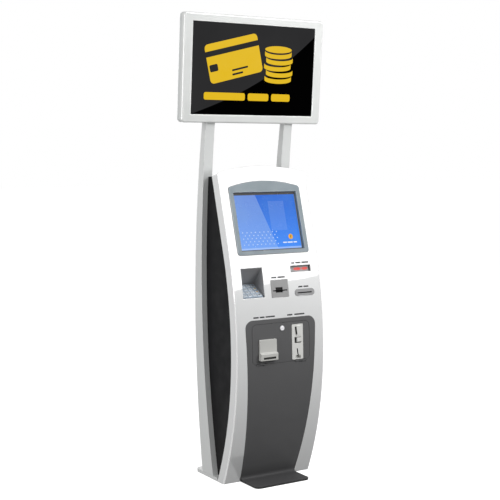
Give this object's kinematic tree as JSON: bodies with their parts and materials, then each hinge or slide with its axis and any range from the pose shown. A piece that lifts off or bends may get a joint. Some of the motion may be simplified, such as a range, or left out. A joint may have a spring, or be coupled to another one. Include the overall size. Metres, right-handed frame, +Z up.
{
  "type": "self-service payment kiosk",
  "caption": "Free-standing curved payment kiosk with touch screen, PIN pad, card, note and coin acceptors, and a large display carried above on two posts.",
  "frame": {"origin": "on the floor, at the centre of the object's bounding box seen from above", "axes": "+X to the right of a person facing the screens, +Y towards the kiosk's rear, +Z up"},
  "size_m": [0.794, 0.432, 2.2591],
  "materials": {
    "post_paint": "satin light grey powder coat",
    "cabinet_paint": "matt black powder coat",
    "lock_chrome": "polished",
    "black_plastic": "fine texture",
    "rocker_plastic": "gloss",
    "shell_paint": "gloss white paint",
    "panel_paint": "satin dark grey powder coat",
    "hinge_steel": "satin",
    "bill_plastic": "fine texture",
    "cash_box_paint": "satin",
    "coin_metal": "satin die-cast",
    "bezel_plastic": "satin blue-grey",
    "touch_glass": "polished",
    "touch_picture": "lit picture",
    "niche_paint": "satin grey",
    "pad_steel": "brushed",
    "key_steel": "brushed",
    "reader_plastic": "fine texture",
    "scanner_frame": "fine texture",
    "scanner_window": "lit red window",
    "printer_plastic": "fine texture",
    "printer_frame": "satin",
    "paper": "matt thermal paper",
    "platen_rubber": "matt",
    "zinc_sheet": "zinc-coated sheet",
    "display_plastic": "satin light grey",
    "display_cover": "satin light grey",
    "display_screen": "glossy black"
  },
  "bodies": {
    "cabinet": {"base_plate": "post_paint", "left_post": "post_paint", "right_post": "post_paint", "cabinet_left_wall": "cabinet_paint", "cabinet_right_wall": "cabinet_paint", "cabinet_top": "cabinet_paint", "rear_lower_panel": "cabinet_paint", "door_rails": "cabinet_paint", "power_inlet": "black_plastic", "card_reader": "black_plastic", "computer": "black_plastic", "front_shell": "shell_paint", "kick_panel": "panel_paint", "service_hinges": "hinge_steel", "bill_cassette": "cash_box_paint", "coin_box": "cash_box_paint", "touch_bezel": "bezel_plastic", "touch_glass": "touch_glass", "touch_panel": "touch_picture", "keypad_tray": "niche_paint", "keypad_body": "pad_steel", "card_bezel": "reader_plastic", "scanner_bezel": "scanner_frame", "scanner_module": "scanner_window", "printer_bezel": "printer_plastic", "printer_module": "printer_frame", "power_supply": "zinc_sheet", "equipment_shelves": "zinc_sheet", "display_bracket": "zinc_sheet", "display_frame": "display_plastic", "display_rear_cover": "display_cover", "display_panel": "display_screen"},
    "rear_door": {"rear_door": "cabinet_paint"},
    "rear_lock": {"rear_lock": "lock_chrome"},
    "power_switch": {"power_switch": "rocker_plastic"},
    "service_door": {"service_door": "panel_paint", "bill_bezel": "bill_plastic", "bill_validator": "black_plastic", "coin_plate": "coin_metal", "coin_validator": "black_plastic"},
    "service_lock": {"service_lock": "lock_chrome"},
    "coin_return_button": {"coin_return_button": "coin_metal"},
    "paper_roll": {"paper_roll": "paper"},
    "platen_roller": {"platen_roller": "platen_rubber"},
    "key_1_1": {"key_1_1": "key_steel"},
    "key_1_2": {"key_1_2": "key_steel"},
    "key_1_3": {"key_1_3": "key_steel"},
    "key_1_4": {"key_1_4": "key_steel"},
    "key_2_1": {"key_2_1": "key_steel"},
    "key_2_2": {"key_2_2": "key_steel"},
    "key_2_3": {"key_2_3": "key_steel"},
    "key_2_4": {"key_2_4": "key_steel"},
    "key_3_1": {"key_3_1": "key_steel"},
    "key_3_2": {"key_3_2": "key_steel"},
    "key_3_3": {"key_3_3": "key_steel"},
    "key_3_4": {"key_3_4": "key_steel"},
    "key_4_1": {"key_4_1": "key_steel"},
    "key_4_2": {"key_4_2": "key_steel"},
    "key_4_3": {"key_4_3": "key_steel"},
    "key_4_4": {"key_4_4": "key_steel"}
  },
  "joints": [
    {"name": "rear_door_hinge", "type": "hinge", "parent": "cabinet", "child": "rear_door", "pos_m": [-0.193, 0.209, 0.85], "axis": [0, 0, 1], "range_deg": [0, 110]},
    {"name": "rear_lock_turn", "type": "hinge", "parent": "rear_door", "child": "rear_lock", "pos_m": [0.168, 0.2, 0.85], "axis": [0, 1, 0], "range_deg": [0, 90]},
    {"name": "power_rocker", "type": "hinge", "parent": "cabinet", "child": "power_switch", "pos_m": [0.0845, 0.14779, 0.06], "axis": [1, 0, 0], "range_deg": [0, 16]},
    {"name": "service_door_hinge", "type": "hinge", "parent": "cabinet", "child": "service_door", "pos_m": [0, -0.18979, 0.5945], "axis": [1, 0, 0], "range_deg": [0, 90]},
    {"name": "service_lock_turn", "type": "hinge", "parent": "service_door", "child": "service_lock", "pos_m": [0.006, -0.18469, 0.76], "axis": [0, 0.9971, -0.0757], "range_deg": [0, 90]},
    {"name": "coin_return_press", "type": "slide", "parent": "service_door", "child": "coin_return_button", "axis": [0, 0.9993, -0.0365], "range_m": [0, 0.004], "stiffness_N_per_m": 300, "springref_m": -0.003},
    {"name": "paper_roll_spin", "type": "hinge", "parent": "cabinet", "child": "paper_roll", "pos_m": [0.15, -0.0371, 0.95], "axis": [1, 0, 0], "continuous": true},
    {"name": "platen_spin", "type": "hinge", "parent": "cabinet", "child": "platen_roller", "pos_m": [0.15, -0.1331, 0.929], "axis": [1, 0, 0], "continuous": true},
    {"name": "key_1_1_press", "type": "slide", "parent": "cabinet", "child": "key_1_1", "axis": [0, 0.5, -0.866], "range_m": [0, 0.0018], "stiffness_N_per_m": 400, "springref_m": -0.0012},
    {"name": "key_1_2_press", "type": "slide", "parent": "cabinet", "child": "key_1_2", "axis": [0, 0.5, -0.866], "range_m": [0, 0.0018], "stiffness_N_per_m": 400, "springref_m": -0.0012},
    {"name": "key_1_3_press", "type": "slide", "parent": "cabinet", "child": "key_1_3", "axis": [0, 0.5, -0.866], "range_m": [0, 0.0018], "stiffness_N_per_m": 400, "springref_m": -0.0012},
    {"name": "key_1_4_press", "type": "slide", "parent": "cabinet", "child": "key_1_4", "axis": [0, 0.5, -0.866], "range_m": [0, 0.0018], "stiffness_N_per_m": 400, "springref_m": -0.0012},
    {"name": "key_2_1_press", "type": "slide", "parent": "cabinet", "child": "key_2_1", "axis": [0, 0.5, -0.866], "range_m": [0, 0.0018], "stiffness_N_per_m": 400, "springref_m": -0.0012},
    {"name": "key_2_2_press", "type": "slide", "parent": "cabinet", "child": "key_2_2", "axis": [0, 0.5, -0.866], "range_m": [0, 0.0018], "stiffness_N_per_m": 400, "springref_m": -0.0012},
    {"name": "key_2_3_press", "type": "slide", "parent": "cabinet", "child": "key_2_3", "axis": [0, 0.5, -0.866], "range_m": [0, 0.0018], "stiffness_N_per_m": 400, "springref_m": -0.0012},
    {"name": "key_2_4_press", "type": "slide", "parent": "cabinet", "child": "key_2_4", "axis": [0, 0.5, -0.866], "range_m": [0, 0.0018], "stiffness_N_per_m": 400, "springref_m": -0.0012},
    {"name": "key_3_1_press", "type": "slide", "parent": "cabinet", "child": "key_3_1", "axis": [0, 0.5, -0.866], "range_m": [0, 0.0018], "stiffness_N_per_m": 400, "springref_m": -0.0012},
    {"name": "key_3_2_press", "type": "slide", "parent": "cabinet", "child": "key_3_2", "axis": [0, 0.5, -0.866], "range_m": [0, 0.0018], "stiffness_N_per_m": 400, "springref_m": -0.0012},
    {"name": "key_3_3_press", "type": "slide", "parent": "cabinet", "child": "key_3_3", "axis": [0, 0.5, -0.866], "range_m": [0, 0.0018], "stiffness_N_per_m": 400, "springref_m": -0.0012},
    {"name": "key_3_4_press", "type": "slide", "parent": "cabinet", "child": "key_3_4", "axis": [0, 0.5, -0.866], "range_m": [0, 0.0018], "stiffness_N_per_m": 400, "springref_m": -0.0012},
    {"name": "key_4_1_press", "type": "slide", "parent": "cabinet", "child": "key_4_1", "axis": [0, 0.5, -0.866], "range_m": [0, 0.0018], "stiffness_N_per_m": 400, "springref_m": -0.0012},
    {"name": "key_4_2_press", "type": "slide", "parent": "cabinet", "child": "key_4_2", "axis": [0, 0.5, -0.866], "range_m": [0, 0.0018], "stiffness_N_per_m": 400, "springref_m": -0.0012},
    {"name": "key_4_3_press", "type": "slide", "parent": "cabinet", "child": "key_4_3", "axis": [0, 0.5, -0.866], "range_m": [0, 0.0018], "stiffness_N_per_m": 400, "springref_m": -0.0012},
    {"name": "key_4_4_press", "type": "slide", "parent": "cabinet", "child": "key_4_4", "axis": [0, 0.5, -0.866], "range_m": [0, 0.0018], "stiffness_N_per_m": 400, "springref_m": -0.0012}
  ],
  "couplings": [
    {"joint": "platen_spin", "follows": "paper_roll_spin", "ratio": 6.3333}
  ]
}
